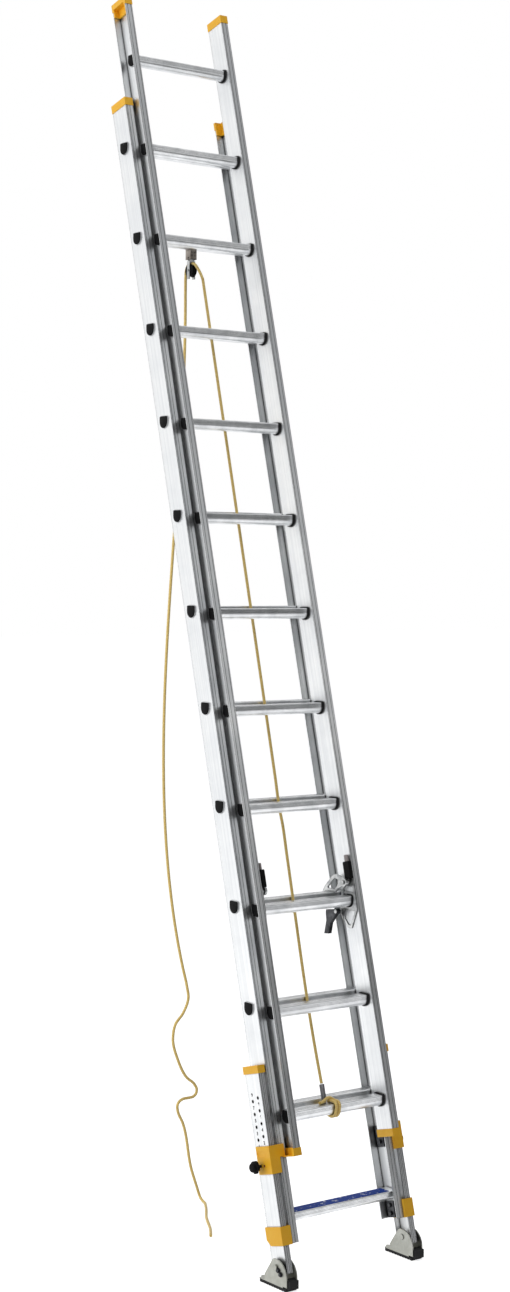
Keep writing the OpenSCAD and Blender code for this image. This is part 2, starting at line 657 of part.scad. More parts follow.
module rope_ferrule() color("#8c8e90") ladder() translate([strand_foot[0], strand_foot[1], ferrule_low])
    difference() {
        cylinder(d = rope_d + 6, h = ferrule_h);
        translate([0, 0, -1]) cylinder(d = rope_d + 1, h = 30);
    }

// ---- the nodes ----

base_rail_left();
base_rail_right();
base_step();
step_strip();
for (i = [1 : rungs - 1]) base_rung(i);
base_rung_ends();
base_top_caps();
leveler_brackets();
leveler_guides();
leveler_clamps();
pulley_clamp();
haul_rope();
fly_rail_left();
fly_rail_right();
for (i = [0 : rungs - 1]) fly_rung(i);
fly_rung_ends();
fly_top_caps();
fly_bottom_caps();
lock_frames();
lock_covers();
rope_clamp();
rope_ferrule();
fly_rope();
lock_hook_left();
lock_hook_right();
lock_finger_left();
lock_finger_right();
leveler_leg_left();
leveler_leg_right();
leg_cap_left();
leg_cap_right();
shoe_left();
shoe_right();
shoe_pad_left();
shoe_pad_right();
knob_left();
knob_right();
pulley_block();
pulley_sheave();
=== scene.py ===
"""Looks of the two-section extension ladder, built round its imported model.

World: +Z up, -Y toward the climber, metres. The rails lean back by LEAN; at() turns a place given
across, up the rails and out to the climber into the world.
"""

import json
import math

import bmesh
import bpy
from mathutils import Matrix, Vector


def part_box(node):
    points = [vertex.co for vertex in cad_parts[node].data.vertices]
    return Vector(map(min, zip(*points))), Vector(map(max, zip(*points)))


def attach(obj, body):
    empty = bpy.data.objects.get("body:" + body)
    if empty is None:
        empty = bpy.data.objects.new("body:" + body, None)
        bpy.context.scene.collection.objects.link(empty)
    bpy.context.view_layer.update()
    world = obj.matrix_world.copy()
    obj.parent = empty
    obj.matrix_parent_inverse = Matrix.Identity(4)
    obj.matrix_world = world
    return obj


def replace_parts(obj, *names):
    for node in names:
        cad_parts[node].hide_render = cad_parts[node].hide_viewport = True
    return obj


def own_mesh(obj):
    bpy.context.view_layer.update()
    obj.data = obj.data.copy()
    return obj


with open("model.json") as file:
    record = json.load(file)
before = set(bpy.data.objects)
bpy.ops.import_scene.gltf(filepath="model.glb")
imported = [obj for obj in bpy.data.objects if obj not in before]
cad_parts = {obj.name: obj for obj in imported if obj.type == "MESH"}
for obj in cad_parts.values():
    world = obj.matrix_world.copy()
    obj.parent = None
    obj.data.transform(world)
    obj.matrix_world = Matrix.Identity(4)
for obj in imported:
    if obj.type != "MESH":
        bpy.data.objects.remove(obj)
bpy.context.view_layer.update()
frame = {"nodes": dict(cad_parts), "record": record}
nodes = frame["nodes"]

MM = 0.001
LEAN = math.radians(14.5)
SIN, COS = math.sin(LEAN), math.cos(LEAN)
STEP_H = 0.192  # middle of the bottom step above the floor
FOOT_Y = -0.04136  # from the step's middle to the foot pivots, which stand over the origin
PITCH = 0.3048
HOOK_DROP = 0.022  # each fly rung rests this far below the base rung beside it
FLY_UP = PITCH - HOOK_DROP
FLY_OUT = 0.059
ROPE_D = 0.0095
YARNS = 8  # that show round the rope in each direction


def at(x, s, n):
    """The world place that is x across, s up the rails and n out to the climber, in metres."""
    return Vector((x, s * SIN - n * COS - FOOT_Y, s * COS + n * SIN + STEP_H))


RAIL_AXIS = Vector((0, SIN, COS))

# ---- camera, light and floor -------------------------------------------------------------------

YAW, PITCH_DOWN, ROLL = 37.125, 1.795, -0.31
EYE = (-4.0055, -4.8669 - FOOT_Y, 1.8683 + STEP_H)  # in front of the ladder, to its left

camera = bpy.data.objects.new("view_from_the_left", bpy.data.cameras.new("view_from_the_left"))
bpy.context.scene.collection.objects.link(camera)
camera.location = EYE
camera.rotation_euler = (math.radians(90 - PITCH_DOWN), math.radians(ROLL), math.radians(-YAW))
camera.data.lens = 59.09
camera.data.clip_start, camera.data.clip_end = 0.1, 200
bpy.context.scene.camera = camera
bpy.context.scene.view_settings.view_transform = "Standard"


def tone(code):
    """An sRGB hex colour as the linear colour that a shader takes."""
    parts = [int(code[i : i + 2], 16) / 255 for i in (1, 3, 5)]
    return (*[c / 12.92 if c <= 0.04045 else ((c + 0.055) / 1.055) ** 2.4 for c in parts], 1.0)


def node(tree, kind, inputs=None, **settings):
    """Adds one node. inputs gives its values, or the sockets that feed them."""
    made = tree.nodes.new(kind)
    for name, value in settings.items():
        setattr(made, name, value)
    for name, value in (inputs or {}).items():
        if isinstance(value, bpy.types.NodeSocket):
            tree.links.new(value, made.inputs[name])
        else:
            made.inputs[name].default_value = value
    return made


def empty_material(name):
    made = bpy.data.materials.new(name)
    made.use_nodes = True
    made.node_tree.nodes.clear()
    return made, made.node_tree


def studio_room():
    """White all round to the eye and in reflections; a soft even light on the object."""
    world = bpy.data.worlds.new("studio")
    bpy.context.scene.world = world
    world.use_nodes = True
    tree = world.node_tree
    tree.nodes.clear()
    room = node(tree, "ShaderNodeBackground", {"Color": tone("#F4F6FA"), "Strength": 0.27})
    white = node(tree, "ShaderNodeBackground", {"Color": (1, 1, 1, 1), "Strength": 1.0})
    both = node(tree, "ShaderNodeMixShader", {0: seen_or_mirrored(tree), 1: room.outputs[0],
                                              2: white.outputs[0]})
    node(tree, "ShaderNodeOutputWorld", {"Surface": both.outputs[0]})


def seen_or_mirrored(tree):
    """1 for rays from the camera, a mirror or a window, and 0 for light that falls on the object."""
    path = node(tree, "ShaderNodeLightPath")
    either = node(tree, "ShaderNodeMath", {0: path.outputs["Is Camera Ray"],
                                           1: path.outputs["Is Glossy Ray"]}, operation="MAXIMUM")
    return node(tree, "ShaderNodeMath", {0: either.outputs[0], 1: path.outputs["Is Transmission Ray"]},
                operation="MAXIMUM").outputs[0]


def softbox(name, place, target, width, height, watts):
    lamp = bpy.data.lights.new(name, "AREA")
    lamp.shape, lamp.size, lamp.size_y, lamp.energy = "RECTANGLE", width, height, watts
    box = bpy.data.objects.new(name, lamp)
    bpy.context.scene.collection.objects.link(box)
    box.location = place
    box.rotation_euler = (Vector(target) - Vector(place)).to_track_quat("-Z", "Y").to_euler()


def plain_floor():
    bpy.ops.object.select_all(action="DESELECT")
    bpy.ops.mesh.primitive_plane_add(size=120, location=(0, 0, -0.0006))
    floor = bpy.context.object
    floor.name = "floor"
    paint, tree = empty_material("white_paper")
    sheet = node(tree, "ShaderNodeBsdfDiffuse", {"Color": tone("#EFEFEF")})
    glow = node(tree, "ShaderNodeEmission", {"Color": (1, 1, 1, 1), "Strength": 0.8})
    dark = node(tree, "ShaderNodeEmission", {"Color": (0, 0, 0, 1), "Strength": 0.0})
    lift = node(tree, "ShaderNodeMixShader", {0: seen_or_mirrored(tree), 1: dark.outputs[0],
                                              2: glow.outputs[0]})
    both = node(tree, "ShaderNodeAddShader", {0: sheet.outputs[0], 1: lift.outputs[0]})
    node(tree, "ShaderNodeOutputMaterial", {"Surface": both.outputs[0]})
    floor.data.materials.append(paint)


def grey_card(name, place, target, width, height, shade):
    """A grey card that only shows in the metal, as a studio flag does."""
    bpy.ops.object.select_all(action="DESELECT")
    bpy.ops.mesh.primitive_plane_add(size=1, location=place)
    card = bpy.context.object
    card.name = name
    card.scale = (width, height, 1)
    card.rotation_euler = (Vector(target) - Vector(place)).to_track_quat("Z", "Y").to_euler()
    card.visible_camera = card.visible_diffuse = card.visible_shadow = False
    felt, tree = empty_material(name)
    glow = node(tree, "ShaderNodeEmission", {"Color": tone(shade), "Strength": 1.0})
    node(tree, "ShaderNodeOutputMaterial", {"Surface": glow.outputs[0]})
    card.data.materials.append(felt)


studio_room()
plain_floor()
grey_card("upper_card", (6.4, -7.2, 9.8), (0, 0.4, 3.4), 13, 6.4, "#8D8F91")
grey_card("lower_card", (6.4, -7.2, 1.9), (0, 0.4, 1.0), 13, 4.4, "#3C3E3F")
MIDDLE = (0, 0.4, 2.0)
softbox("key_left", (-6.5, 2.2, 3.6), MIDDLE, 7.0, 7.0, 260)
softbox("top", (-0.5, -0.5, 7.8), MIDDLE, 4.5, 4.5, 120)

# ---- materials ---------------------------------------------------------------------------------


def new_material(name):
    """An empty material, its tree, and the place on the object that its patterns read."""
    made, tree = empty_material(name)
    return made, tree, node(tree, "ShaderNodeTexCoord").outputs["Object"]


def finish_material(tree, **sockets):
    """Ends the tree with the shader; a socket's name has _ where the shader's has a space."""
    shader = node(tree, "ShaderNodeBsdfPrincipled", {k.replace("_", " "): v for k, v in sockets.items()})
    node(tree, "ShaderNodeOutputMaterial", {"Surface": shader.outputs[0]})


def set_stops(ramp, *stops):
    """Gives a colour ramp its stops, each a spot along it and a colour, with its two ends first."""
    for i, (spot, code) in enumerate(stops):
        stop = ramp.elements[i] if i < 2 else ramp.elements.new(spot)
        stop.position = spot
        stop.color = tone(code)


def darkened(tree, colour, measure, low, high, darkest):
    """The colour, darker and darker as the measure falls from high to low."""
    shade = node(tree, "ShaderNodeMapRange", {"Value": measure, "From Min": low, "From Max": high,
                                              "To Min": darkest, "To Max": 1.0})
    return node(tree, "ShaderNodeMix", {"Factor": 1.0, "A": colour, "B": shade.outputs[0]},
                data_type="RGBA", blend_type="MULTIPLY").outputs["Result"]


def painted_hollow_shade(tree, colour, reach, darkest):
    """The colour with painted shade: darkened where walls close in within reach, in grooves and channels."""
    occlusion_amount = node(tree, "ShaderNodeAmbientOcclusion", {"Distance": reach}, samples=8)
    return darkened(tree, colour, occlusion_amount.outputs["AO"], 0.3, 0.8, darkest)


def painted_edge_shade(tree, colour, width, darkest):
    """The colour with painted shade along the edges: a thin dark line where two faces meet."""
    round_way = node(tree, "ShaderNodeBevel", {"Radius": width}, samples=6).outputs[0]
    flat_way = node(tree, "ShaderNodeNewGeometry").outputs["Normal"]
    agree = node(tree, "ShaderNodeVectorMath", {0: round_way, 1: flat_way}, operation="DOT_PRODUCT")
    return darkened(tree, colour, agree.outputs["Value"], 0.8, 0.97, darkest)


def extruded_aluminium():
    """Mill-finish extruded aluminium: fine die lines up the rail, soft cloudy patches, a satin sheen."""
    made, tree, place = new_material("extruded_aluminium")
    # turned back by the lean, so that z runs up the rails
    along = node(tree, "ShaderNodeMapping", {"Vector": place, "Rotation": (LEAN, 0, 0)}).outputs[0]
    # die lines are a few tenths of a millimetre wide; drawn 5 mm wide so that they show
    stretched = node(tree, "ShaderNodeVectorMath", {0: along, 1: (200, 200, 1.2)}, operation="MULTIPLY")
    lines = node(tree, "ShaderNodeTexNoise", {"Vector": stretched.outputs[0], "Scale": 1.0, "Detail": 4.0,
                                              "Roughness": 0.6})
    # hairlines 0.7 mm wide, in relief only
    fine = node(tree, "ShaderNodeVectorMath", {0: along, 1: (1400, 1400, 9)}, operation="MULTIPLY")
    hair = node(tree, "ShaderNodeTexNoise", {"Vector": fine.outputs[0], "Scale": 1.0, "Detail": 2.0})
    # cloudy patches 140 mm across
    cloud = node(tree, "ShaderNodeTexNoise", {"Vector": along, "Scale": 7.0, "Detail": 5.0,
                                              "Roughness": 0.55})
    marks = node(tree, "ShaderNodeMath", {0: lines.outputs["Fac"], 1: cloud.outputs["Fac"]},
                 operation="MULTIPLY")
    colour = node(tree, "ShaderNodeValToRGB", {"Fac": marks.outputs[0]})
    set_stops(colour.color_ramp, (0.12, "#CBCDCF"), (0.42, "#E6E7E7"))
    rough = node(tree, "ShaderNodeMapRange", {"Value": marks.outputs[0], "From Min": 0.1, "From Max": 0.45,
                                              "To Min": 0.42, "To Max": 0.27})
    bump = node(tree, "ShaderNodeBump", {"Height": hair.outputs["Fac"], "Strength": 0.12,
                                         "Distance": 0.0002})
    # painted shade: a dark line along every edge, and deep darkening in grooves, channels and between the
    # sections
    metal = painted_hollow_shade(tree, painted_edge_shade(tree, colour.outputs[0], 0.005, 0.3), 0.014, 0.03)
    finish_material(tree, Base_Color=metal, Metallic=1.0, Roughness=rough.outputs[0],
                    Normal=bump.outputs[0])
    return made


def drawn_rung():
    """Extruded rung stock, laid across: die lines run from side to side."""
    made, tree, place = new_material("drawn_rung")
    # die lines, drawn 4 mm wide so that they show
    stretched = node(tree, "ShaderNodeVectorMath", {0: place, 1: (2.5, 260, 260)}, operation="MULTIPLY")
    lines = node(tree, "ShaderNodeTexNoise", {"Vector": stretched.outputs[0], "Scale": 1.0, "Detail": 4.0,
                                              "Roughness": 0.6})
    # scuffs from boots, 45 mm across
    scuff = node(tree, "ShaderNodeTexNoise", {"Vector": place, "Scale": 22.0, "Detail": 6.0,
                                              "Roughness": 0.6})
    marks = node(tree, "ShaderNodeMath", {0: lines.outputs["Fac"], 1: scuff.outputs["Fac"]},
                 operation="MULTIPLY")
    colour = node(tree, "ShaderNodeValToRGB", {"Fac": marks.outputs[0]})
    set_stops(colour.color_ramp, (0.12, "#C6C8CA"), (0.40, "#F6F7F8"))
    bump = node(tree, "ShaderNodeBump", {"Height": lines.outputs["Fac"], "Strength": 0.15,
                                         "Distance": 0.0003})
    # painted shade: darker in the rung's grooves and close to the rails
    metal = painted_hollow_shade(tree, colour.outputs[0], 0.012, 0.2)
    finish_material(tree, Base_Color=metal, Metallic=1.0, Roughness=0.34, Normal=bump.outputs[0])
    return made


def bare_metal(name, light, dark, roughness, grain):
    """Plated or cast metal: a speckle of light and dark, with the shine that roughness gives. grain is
    how many speckles go to a metre; the real ones are finer, and these are as fine as shows."""
    made, tree, place = new_material(name)
    speckle = node(tree, "ShaderNodeTexNoise", {"Vector": place, "Scale": grain, "Detail": 8.0,
                                                "Roughness": 0.65})
    patch = node(tree, "ShaderNodeTexNoise", {"Vector": place, "Scale": grain / 5, "Detail": 3.0})
    marks = node(tree, "ShaderNodeMath", {0: speckle.outputs["Fac"], 1: patch.outputs["Fac"]},
                 operation="MULTIPLY")
    colour = node(tree, "ShaderNodeValToRGB", {"Fac": marks.outputs[0]})
    set_stops(colour.color_ramp, (0.15, dark), (0.38, light))
    rough = node(tree, "ShaderNodeMapRange", {"Value": patch.outputs["Fac"], "From Min": 0.3,
                                              "From Max": 0.7, "To Min": roughness + 0.08,
                                              "To Max": roughness - 0.06})
    bump = node(tree, "ShaderNodeBump", {"Height": speckle.outputs["Fac"], "Strength": 0.15,
                                         "Distance": 0.0004})
    # painted shade: a dark line along every edge, and darkening in hollows
    metal = painted_hollow_shade(tree, painted_edge_shade(tree, colour.outputs[0], 0.0016, 0.2), 0.012, 0.25)
    finish_material(tree, Base_Color=metal, Metallic=1.0, Roughness=rough.outputs[0],
                    Normal=bump.outputs[0])
    return made


def moulded(name, light, dark, roughness, relief=0.1, shine=0.5):
    """Injection-moulded plastic or rubber: spark-eroded grain and a little mottling."""
    made, tree, place = new_material(name)
    # mottling 30 mm across, from the way the plastic flowed
    mottle = node(tree, "ShaderNodeTexNoise", {"Vector": place, "Scale": 35.0, "Detail": 4.0,
                                               "Roughness": 0.6})
    # the grain is about 0.1 mm across; drawn 1 mm wide so that it shows
    skin = node(tree, "ShaderNodeTexNoise", {"Vector": place, "Scale": 900.0, "Detail": 2.0})
    colour = node(tree, "ShaderNodeMix", {"Factor": mottle.outputs["Fac"], "A": tone(dark),
                                          "B": tone(light)}, data_type="RGBA")
    rough = node(tree, "ShaderNodeMapRange", {"Value": mottle.outputs["Fac"], "From Min": 0.3,
                                              "From Max": 0.7, "To Min": roughness + 0.07,
                                              "To Max": roughness - 0.07})
    bump = node(tree, "ShaderNodeBump", {"Height": skin.outputs["Fac"], "Strength": relief,
                                         "Distance": 0.0003})
    finish_material(tree, Base_Color=colour.outputs["Result"], Roughness=rough.outputs[0],
                    Specular_IOR_Level=shine, Normal=bump.outputs[0])
    return made


def grit_strip():
    """Blue vinyl anti-slip strip: fine grit with worn lighter flecks."""
    made, tree, place = new_material("grit_strip")
    # grit of about 0.5 mm, drawn 1.4 mm wide so that it shows
    grit = node(tree, "ShaderNodeTexVoronoi", {"Vector": place, "Scale": 700.0})
    # worn patches 17 mm across, broken up small
    wear = node(tree, "ShaderNodeTexNoise", {"Vector": place, "Scale": 60.0, "Detail": 6.0,
                                             "Roughness": 0.7})
    worn = node(tree, "ShaderNodeMapRange", {"Value": wear.outputs["Fac"], "From Min": 0.57,
                                             "From Max": 0.66})
    colour = node(tree, "ShaderNodeMix", {"Factor": worn.outputs[0], "A": tone("#0E3B96"),
                                          "B": tone("#D8DDE8")}, data_type="RGBA")
    bump = node(tree, "ShaderNodeBump", {"Height": grit.outputs["Distance"], "Strength": 0.4,
                                         "Distance": 0.0005})
    finish_material(tree, Base_Color=colour.outputs["Result"], Roughness=0.62, Specular_IOR_Level=0.15,
                    Normal=bump.outputs[0])
    return made


def braided_rope():
    """Braided polypropylene rope: yarns cross over its surface, with a painted highlight where they stand
    proud and painted shade, brown, in the gaps."""
    made, tree, place = new_material("braided_rope")
    uv = node(tree, "ShaderNodeUVMap", uv_map="lay")
    parts = node(tree, "ShaderNodeSeparateXYZ", {0: uv.outputs[0]})
    # u runs once round the rope and v along it in turns of the braid
    waves = []
    for way in (1, -1):
        v = node(tree, "ShaderNodeMath", {0: parts.outputs["Y"], 1: float(way)}, operation="MULTIPLY")
        turn = node(tree, "ShaderNodeMath", {0: parts.outputs["X"], 1: v.outputs[0]}, operation="ADD")
        angle = node(tree, "ShaderNodeMath", {0: turn.outputs[0], 1: YARNS * math.pi}, operation="MULTIPLY")
        waves.append(node(tree, "ShaderNodeMath", {0: angle.outputs[0]}, operation="SINE").outputs[0])
    weave = node(tree, "ShaderNodeMath", {0: waves[0], 1: waves[1]}, operation="MULTIPLY")
    # flecks 3 mm across, where fibres have dulled
    fleck = node(tree, "ShaderNodeTexNoise", {"Vector": place, "Scale": 320.0, "Detail": 3.0})
    height = node(tree, "ShaderNodeMapRange", {"Value": weave.outputs[0], "From Min": -1.0, "From Max": 1.0})
    both = node(tree, "ShaderNodeMath", {0: height.outputs[0], 1: fleck.outputs["Fac"]}, operation="ADD")
    shade = node(tree, "ShaderNodeMath", {0: both.outputs[0], 1: 0.5}, operation="MULTIPLY")
    # painted shade in the gaps between yarns and painted highlight on their crowns, with real flecks of
    # dulled fibre mixed in
    colour = node(tree, "ShaderNodeValToRGB", {"Fac": shade.outputs[0]})
    set_stops(colour.color_ramp, (0.15, "#CC9A3A"), (0.75, "#FFEBA6"), (0.45, "#F4CF6C"))
    bump = node(tree, "ShaderNodeBump", {"Height": height.outputs[0], "Strength": 0.5, "Distance": 0.0006})
    finish_material(tree, Base_Color=colour.outputs[0], Roughness=0.52, Sheen_Weight=0.25,
                    Normal=bump.outputs[0])
    return made


finishes = {
    "mill_aluminium": extruded_aluminium(),
    "rung_aluminium": drawn_rung(),
    "shoe_aluminium": bare_metal("cast_aluminium", "#B4B5AF", "#96978F", 0.42, 26.0),
    "strip_vinyl": grit_strip(),
    "yellow_plastic": moulded("yellow_polypropylene", "#FFC728", "#F8B218", 0.42),
    "black_plastic": moulded("black_nylon", "#0F0F10", "#070708", 0.6, shine=0.08),
    "black_rubber": moulded("black_rubber", "#1E1F20", "#121213", 0.7, relief=0.2, shine=0.25),
    "black_steel": bare_metal("blackened_steel", "#5A5B5E", "#2C2D30", 0.42, 90.0),
    "zinc_steel": bare_metal("zinc_plated_steel", "#D2D3D2", "#8D8F90", 0.3, 70.0),
    "yellow_rope": braided_rope(),
    # the aluminium sleeve that is crimped on the rope has gone dull and dark
    "ferrule": bare_metal("dull_crimped_sleeve", "#8B8B8D", "#5C5C5F", 0.42, 80.0),
    # the pulley's strap is plain rolled steel, browner than the plated parts
    "strap": bare_metal("rolled_steel_strap", "#A9A29A", "#716A64", 0.46, 45.0),
    # red-brown primer shows on the brackets' rivets
    "primed": bare_metal("primed_rivet", "#8E3A2C", "#5C2A22", 0.55, 120.0),
    "tab": moulded("grey_tab", "#A59C9A", "#8A8280", 0.5),
}

# nodes that wear another finish than their slot's
own_coats = {"rope_ferrule": "ferrule", "pulley_clamp": "strap"}
record_slots = {part["node"]: part["material_slot"] for part in frame["record"]["subparts"]}
for name, thing in nodes.items():
    coat = finishes[own_coats.get(name, record_slots[name])]
    if not thing.material_slots:
        thing.data.materials.append(coat)
    for slot in thing.material_slots:
        slot.material = coat

# ---- rope --------------------------------------------------------------------------------------


def smooth_line(points, gap):
    """A smooth curve through points, sampled every gap metres or so. At a point it heads along the
    mean of both runs beside it, the shorter one counting for more."""
    points = [Vector(p) for p in points]
    runs = [b - a for a, b in zip(points, points[1:])]
    heads = [runs[0].normalized()]
    heads += [(a.normalized() * b.length + b.normalized() * a.length).normalized()
              for a, b in zip(runs, runs[1:])]
    heads.append(runs[-1].normalized())
    line = []
    for i, run in enumerate(runs):
        steps = max(1, round(run.length / gap))
        for k in range(steps):
            t = k / steps
            line.append((2 * t**3 - 3 * t**2 + 1) * points[i] + (3 * t**2 - 2 * t**3) * points[i + 1]
                        + run.length * ((t**3 - 2 * t**2 + t) * heads[i] + (t**3 - t**2) * heads[i + 1]))
    line.append(points[-1])
    return line


BRAID_TURN = 0.034  # length along the rope in which a yarn goes once round
ROUND = 16  # corners of the rope's outline
ROPE_STEP = 0.0021  # from one outline to the next


def rope_mesh(name, line, body):
    """A braided rope along a line: yarns stand a little proud where they cross over."""
    mesh = bmesh.new()
    lay = mesh.loops.layers.uv.new("lay")
    side = Vector((1, 0.02, 0))  # any way that no rope starts out along
    travelled, rings = 0.0, []
    for i, p in enumerate(line):
        run = (line[min(i + 1, len(line) - 1)] - line[max(i - 1, 0)]).normalized()
        side = (side - side.dot(run) * run).normalized()
        other = run.cross(side)
        if i:
            travelled += (p - line[i - 1]).length
        v = travelled / BRAID_TURN
        ring = []
        for k in range(ROUND):
            turn = k / ROUND
            weave = math.sin(YARNS * math.pi * (turn + v)) * math.sin(YARNS * math.pi * (turn - v))
            reach = ROPE_D / 2 * (0.985 + 0.055 * weave)
            ring.append(mesh.verts.new(p + reach * (math.cos(2 * math.pi * turn) * side
                                                     + math.sin(2 * math.pi * turn) * other)))
        rings.append((ring, v))
    for (near, v0), (far, v1) in zip(rings, rings[1:]):
        for k in range(ROUND):
            after = (k + 1) % ROUND
            face = mesh.faces.new((near[k], near[after], far[after], far[k]))
            face.smooth = True
            for loop, (u, v) in zip(face.loops, ((k, v0), (k + 1, v0), (k + 1, v1), (k, v1))):
                loop[lay].uv = (u / ROUND, v)
    mesh.faces.new(list(reversed(rings[0][0])))
    mesh.faces.new(rings[-1][0])
    bmesh.ops.recalc_face_normals(mesh, faces=mesh.faces)
    data = bpy.data.meshes.new(name)
    mesh.to_mesh(data)
    mesh.free()
    piece = bpy.data.objects.new(name, data)
    bpy.context.scene.collection.objects.link(piece)
    data.materials.append(finishes["yellow_rope"])
    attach(piece, body)
    return piece


ROPE_X = -10 * MM
PULLEY_RUNG = at(0, 10 * PITCH, 0)
over_pulley = [(ROPE_X, PULLEY_RUNG.y + y * MM, PULLEY_RUNG.z + z * MM) for y, z in (
    (-66, -120), (-50, -96), (-36, -80), (-19, -65.6), (0, -62.05), (18, -66.8), (27, -80), (30, -100),
    (31, -140), (31, -200))]
PLUMB_Y = PULLEY_RUNG.y + 31 * MM
wave = [(x * MM, PLUMB_Y, z * MM) for x, z in (
    (-10, 790), (8, 722), (14, 683), (-6, 636), (-38, 600), (-47, 558), (-27, 483), (8, 421),
    (40.5, 392.5), (49.5, 375), (46, 360.5), (35.5, 353), (20, 351.5), (-9, 350), (-21, 344),
    (-28.5, 331), (-27, 316), (-6, 270), (30, 110), (50, 54))]
FLOOR_Z = ROPE_D / 2 + 0.35 * MM
on_floor = [(x * MM, PLUMB_Y + y * MM, FLOOR_Z + z * MM) for x, y, z in (
    (59, -1, 22.5), (61.5, -7, 8.5), (61, -20, 1.5), (56, -38, 0.1), (34, -76, 0),
    (-36, -177, 0), (-100, -287, 0), (-135, -337, 0))]

haul_line = smooth_line(over_pulley + wave + on_floor, ROPE_STEP)
haul_cord = rope_mesh("haul_cord", haul_line, "base_section")
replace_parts(haul_cord, "haul_rope")

fly_line = smooth_line([at(x * MM, s * MM, n * MM) for x, n, s in (
    (-10, 33.4, 2913.3), (-16, 30, 1300), (-17, 30, 1185), (-15, 30, 1150), (-16, 30, 1050), (-20, 33, 440),
    (-22, 40, 357.8))], ROPE_STEP)
fly_cord = rope_mesh("fly_cord", fly_line, "base_section")
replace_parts(fly_cord, "fly_rope")
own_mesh(fly_cord)

# The rope's end, made fast on the fly section's lowest rung: down from the ferrule, twice round the
# rung, over both turns and along the tread. Places are across, back and up from the rung's middle, in
# millimetres, with the rope's own middle 5 mm off the metal.
LOW_RUNG = at(0, FLY_UP, FLY_OUT)
wraps = [(-22, 29.6, 38.8), (-20.5, 25.6, 21)]
for x in (-14, -2):
    wraps += [(x - 4, 23.4, 0), (x - 3, 16.6, -17.6), (x - 1, 0, -24.4), (x, -16.6, -17.6), (x, -23.4, 0),
              (x + 1, -22.8, 13), (x + 2, -15, 20.6), (x + 4, 0, 20.4)]
    if x < -2:
        wraps += [(x + 5, 15, 20.6), (x + 7, 22.8, 13)]
wraps += [(0, 11, 23), (-9, 12.5, 28.5), (-20, 11, 29.4), (-33, 9, 24), (-44, 7, 20.4), (-56, 4, 20.3)]
wrap_line = smooth_line([LOW_RUNG + Vector(place) * MM for place in wraps], ROPE_STEP)
rope_loops = rope_mesh("rope_loops", wrap_line, "fly_section")
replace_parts(rope_loops, "rope_clamp")

# ---- small parts, modelled one by one ----------------------------------------------------------


def choose(thing, kind, test):
    """Selects the faces, edges or corners of the mesh being edited that pass the test, and no others."""
    bpy.ops.mesh.select_mode(type={"faces": "FACE", "edges": "EDGE", "verts": "VERT"}[kind])
    bpy.ops.mesh.select_all(action="DESELECT")
    mesh = bmesh.from_edit_mesh(thing.data)
    for part in getattr(mesh, kind):
        part.select_set(bool(test(part)))
    mesh.select_flush_mode()
    bmesh.update_edit_mesh(thing.data)


def extrude(x=0, y=0, z=0):
    """Extrudes what is chosen and moves it by x, y and z."""
    bpy.ops.mesh.extrude_region_move(TRANSFORM_OT_translate={"value": (x, y, z)})


def clean_shell():
    """Merges doubles, turns the faces outward, and leaves edit mode."""
    bpy.ops.mesh.select_all(action="SELECT")
    bpy.ops.mesh.remove_doubles(threshold=0.00001)
    bpy.ops.mesh.normals_make_consistent(inside=False)
    bpy.ops.object.mode_set(mode="OBJECT")


def edit_new():
    """Sets the new primitive's place and size in its mesh and opens it for editing."""
    bpy.ops.object.transform_apply(location=True, rotation=True, scale=True)
    bpy.ops.object.mode_set(mode="EDIT")
    return bpy.context.object


def block(size, middle=(0, 0, 0)):
    """A block of this size about its middle, open for editing."""
    bpy.ops.object.select_all(action="DESELECT")
    bpy.ops.mesh.primitive_cube_add(size=1, location=middle)
    bpy.context.object.scale = size
    return edit_new()


def cylinder(radius, low, high, corners):
    """A cylinder about Z from one height to another, open for editing."""
    bpy.ops.object.select_all(action="DESELECT")
    bpy.ops.mesh.primitive_cylinder_add(vertices=corners, radius=radius, depth=high - low,
                                        location=(0, 0, (low + high) / 2))
    return edit_new()


def round_upright_edges(thing, radius, above=-math.inf):
    """Rounds the edges that stand along Z and lie above this y."""
    choose(thing, "edges", lambda edge: abs((edge.verts[0].co - edge.verts[1].co).z) > 3 * MM
           and edge.verts[0].co.y > above)
    bpy.ops.mesh.bevel(offset=radius, segments=3)


def turned(profile, corners=24):
    """A shape turned about Z, from its height and radius in millimetres; the first two share a radius."""
    (low, wide), (high, _) = profile[:2]
    thing = cylinder(wide * MM, low * MM, high * MM, corners)
    choose(thing, "faces", lambda face: face.normal.z > 0.9)
    for (near, before), (far, after) in zip(profile[1:], profile[2:]):
        extrude(z=(far - near) * MM)
        bpy.ops.transform.resize(value=(after / before, after / before, 1), center_override=(0, 0, far * MM))
    clean_shell()
    return thing


def knob_shape():
    """Pull knob: a locking pin with a rounded nose, a neck, a lobed grip and a domed cap."""
    knob = turned([(-2.6, 4.4), (8.5, 4.4), (8.5, 7.6), (14.5, 7.6), (15.2, 13), (16.2, 17.2), (18, 19.2),
                   (24.5, 19.2), (26.4, 17.6), (27, 14.2), (33.5, 13.4), (35.2, 11.6), (36, 8.2),
                   (36.2, 3)], corners=30)
    # the grip's rim goes in between its lobes
    lobes = 5
    bpy.ops.object.mode_set(mode="EDIT")
    choose(knob, "verts", lambda v: 15.5 * MM < v.co.z < 26.7 * MM and v.co.xy.length > 15 * MM
           and math.cos(lobes * math.atan2(v.co.y, v.co.x)) < -0.2)
    bpy.ops.transform.resize(value=(0.84, 0.84, 1), center_override=(0, 0, 0))
    clean_shell()
    return knob


